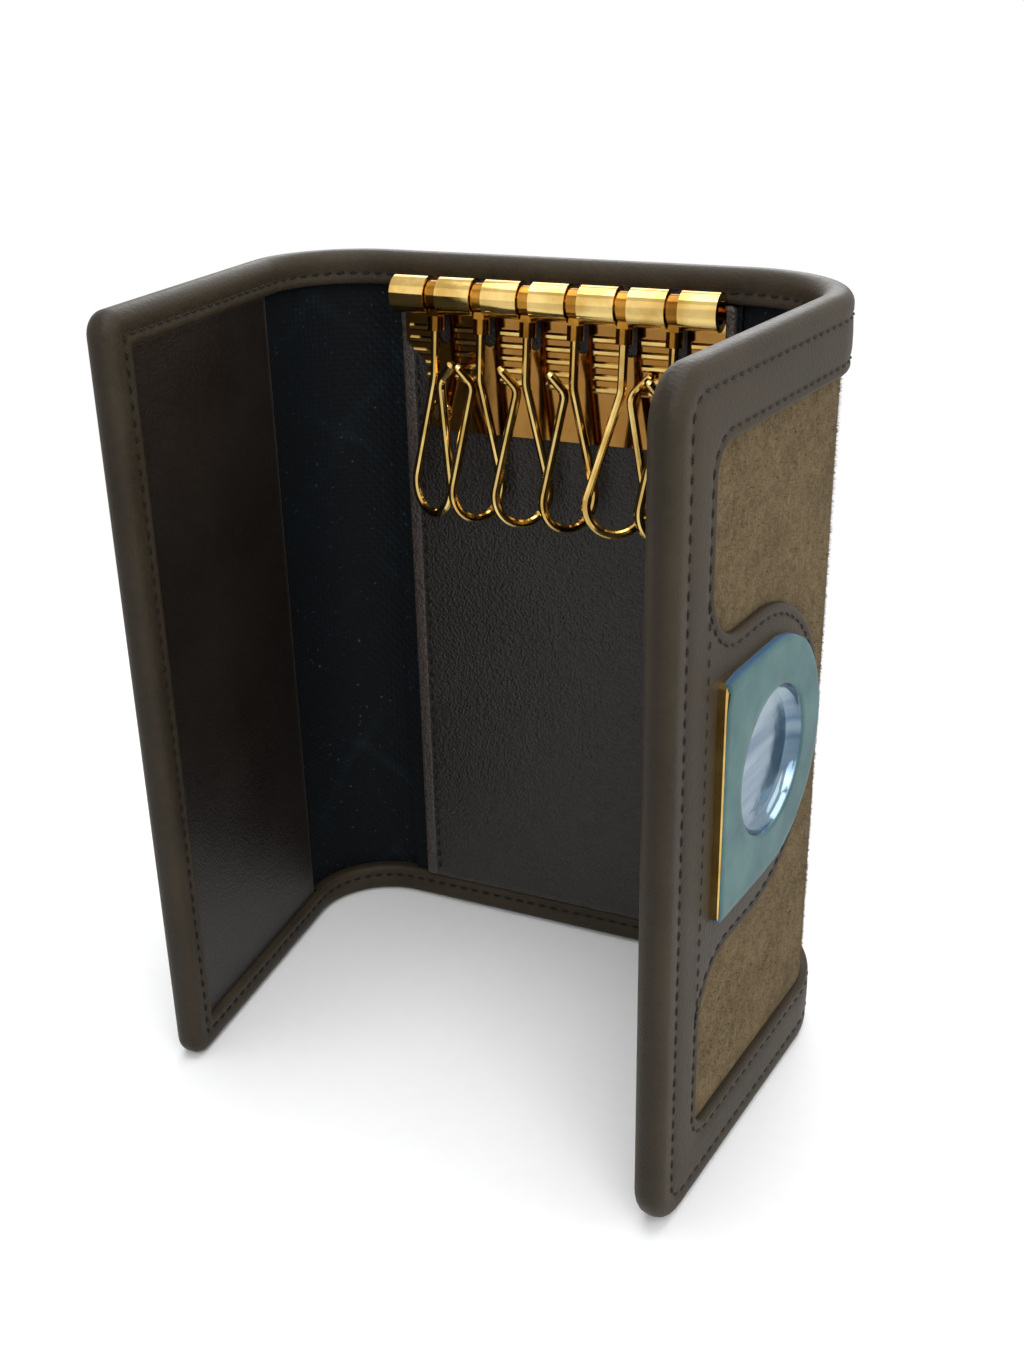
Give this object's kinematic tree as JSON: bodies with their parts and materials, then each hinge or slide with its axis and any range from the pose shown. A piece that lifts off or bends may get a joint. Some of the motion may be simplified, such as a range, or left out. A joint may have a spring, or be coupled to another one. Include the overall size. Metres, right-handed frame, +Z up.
{
  "type": "key case",
  "caption": "Dark leather key case standing open, with a gold rail of swivel wire hooks on its back panel, suede windows and a gold snap plate on one flap.",
  "frame": {"origin": "middle of the back panel, half-way through its thickness, on the lower rim that the case stands on", "axes": "+Z up; +Y out of the back, away from the hooks; +X to the right seen from the open side"},
  "size_m": [0.0849, 0.0626, 0.105],
  "materials": {
    "outer_leather": "dark brown, grained and waxed",
    "inner_leather": "very dark brown, fine grain",
    "suede": "napped suede",
    "lining": "woven with a faint sheen",
    "leather_board": "bonded leather board",
    "gold_metal": "polished, gold plated",
    "film": "clear blue protective film"
  },
  "bodies": {
    "back": {"back_cover": "outer_leather", "back_suede": "suede", "back_board": "leather_board", "back_lining": "lining", "key_panel": "inner_leather", "hook_rail": "gold_metal", "hinge_rod": "gold_metal", "rail_rivet_left": "gold_metal", "rail_rivet_right": "gold_metal"},
    "left_spine": {"left_spine_cover": "outer_leather", "left_spine_lining": "lining"},
    "left_flap": {"left_flap_cover": "outer_leather", "left_flap_board": "leather_board", "left_flap_lining": "lining", "left_pocket_panel": "inner_leather", "snap_stud": "gold_metal", "stud_rivet": "gold_metal"},
    "right_spine": {"right_spine_base_strip": "outer_leather", "right_spine_top_strip": "outer_leather", "right_spine_suede": "suede", "right_spine_lining": "lining"},
    "right_flap": {"right_flap_cover": "outer_leather", "right_flap_suede": "suede", "right_flap_board": "leather_board", "right_inner_panel": "inner_leather", "clasp_patch": "outer_leather", "clasp_plate": "gold_metal", "clasp_film": "film", "snap_socket": "gold_metal"},
    "collar_1": {"collar_1": "gold_metal"},
    "hook_1": {"hook_1": "gold_metal"},
    "collar_2": {"collar_2": "gold_metal"},
    "hook_2": {"hook_2": "gold_metal"},
    "collar_3": {"collar_3": "gold_metal"},
    "hook_3": {"hook_3": "gold_metal"},
    "collar_4": {"collar_4": "gold_metal"},
    "hook_4": {"hook_4": "gold_metal"},
    "collar_5": {"collar_5": "gold_metal"},
    "hook_5": {"hook_5": "gold_metal"},
    "collar_6": {"collar_6": "gold_metal"},
    "hook_6": {"hook_6": "gold_metal"}
  },
  "joints": [
    {"name": "left_spine_fold", "type": "hinge", "parent": "back", "child": "left_spine", "pos_m": [-0.02969, -0.00051, 0.0525], "axis": [0, 0, 1], "range_deg": [-47.6, 42.4], "deforming": ["left_spine_cover", "left_spine_lining"]},
    {"name": "left_flap_fold", "type": "hinge", "parent": "left_spine", "child": "left_flap", "pos_m": [-0.03874, -0.01043, 0.0525], "axis": [0, 0, 1], "range_deg": [-47.6, 42.4], "deforming": ["left_spine_cover", "left_spine_lining"]},
    {"name": "right_spine_fold", "type": "hinge", "parent": "back", "child": "right_spine", "pos_m": [0.02822, -0.00015, 0.0525], "axis": [0, 0, -1], "range_deg": [-48.4, 41.6], "deforming": ["right_spine_base_strip", "right_spine_top_strip", "right_spine_suede", "right_spine_lining"]},
    {"name": "right_flap_fold", "type": "hinge", "parent": "right_spine", "child": "right_flap", "pos_m": [0.04107, -0.01463, 0.0525], "axis": [0, 0, -1], "range_deg": [-48.4, 41.6], "deforming": ["right_spine_base_strip", "right_spine_top_strip", "right_spine_suede", "right_spine_lining"]},
    {"name": "hook_1_swing", "type": "hinge", "parent": "back", "child": "collar_1", "pos_m": [-0.01638, -0.00495, 0.1], "axis": [1, 0, 0], "range_deg": [-165, 0]},
    {"name": "hook_1_swivel", "type": "hinge", "parent": "collar_1", "child": "hook_1", "pos_m": [-0.01638, -0.00495, 0.1], "axis": [0, 0.1132, 0.9936], "range_deg": [-25, 34]},
    {"name": "hook_2_swing", "type": "hinge", "parent": "back", "child": "collar_2", "pos_m": [-0.00942, -0.00495, 0.1], "axis": [1, 0, 0], "range_deg": [-165, 0]},
    {"name": "hook_2_swivel", "type": "hinge", "parent": "collar_2", "child": "hook_2", "pos_m": [-0.00942, -0.00495, 0.1], "axis": [0, 0.1132, 0.9936], "range_deg": [-4, 34]},
    {"name": "hook_3_swing", "type": "hinge", "parent": "back", "child": "collar_3", "pos_m": [-0.00248, -0.00495, 0.1], "axis": [1, 0, 0], "range_deg": [-165, 0]},
    {"name": "hook_3_swivel", "type": "hinge", "parent": "collar_3", "child": "hook_3", "pos_m": [-0.00248, -0.00495, 0.1], "axis": [0, 0.1132, 0.9936], "range_deg": [-28, 34]},
    {"name": "hook_4_swing", "type": "hinge", "parent": "back", "child": "collar_4", "pos_m": [0.00447, -0.00495, 0.1], "axis": [1, 0, 0], "range_deg": [-165, 0]},
    {"name": "hook_4_swivel", "type": "hinge", "parent": "collar_4", "child": "hook_4", "pos_m": [0.00447, -0.00495, 0.1], "axis": [0, 0.1132, 0.9936], "range_deg": [-28, 34]},
    {"name": "hook_5_swing", "type": "hinge", "parent": "back", "child": "collar_5", "pos_m": [0.01142, -0.00495, 0.1], "axis": [1, 0, 0], "range_deg": [-165, 0]},
    {"name": "hook_5_swivel", "type": "hinge", "parent": "collar_5", "child": "hook_5", "pos_m": [0.01142, -0.00495, 0.1], "axis": [0, 0.1132, 0.9936], "range_deg": [-30, 1]},
    {"name": "hook_6_swing", "type": "hinge", "parent": "back", "child": "collar_6", "pos_m": [0.01837, -0.00495, 0.1], "axis": [1, 0, 0], "range_deg": [-165, 0]},
    {"name": "hook_6_swivel", "type": "hinge", "parent": "collar_6", "child": "hook_6", "pos_m": [0.01837, -0.00495, 0.1], "axis": [0, 0.1132, 0.9936], "range_deg": [-28, 34]}
  ]
}
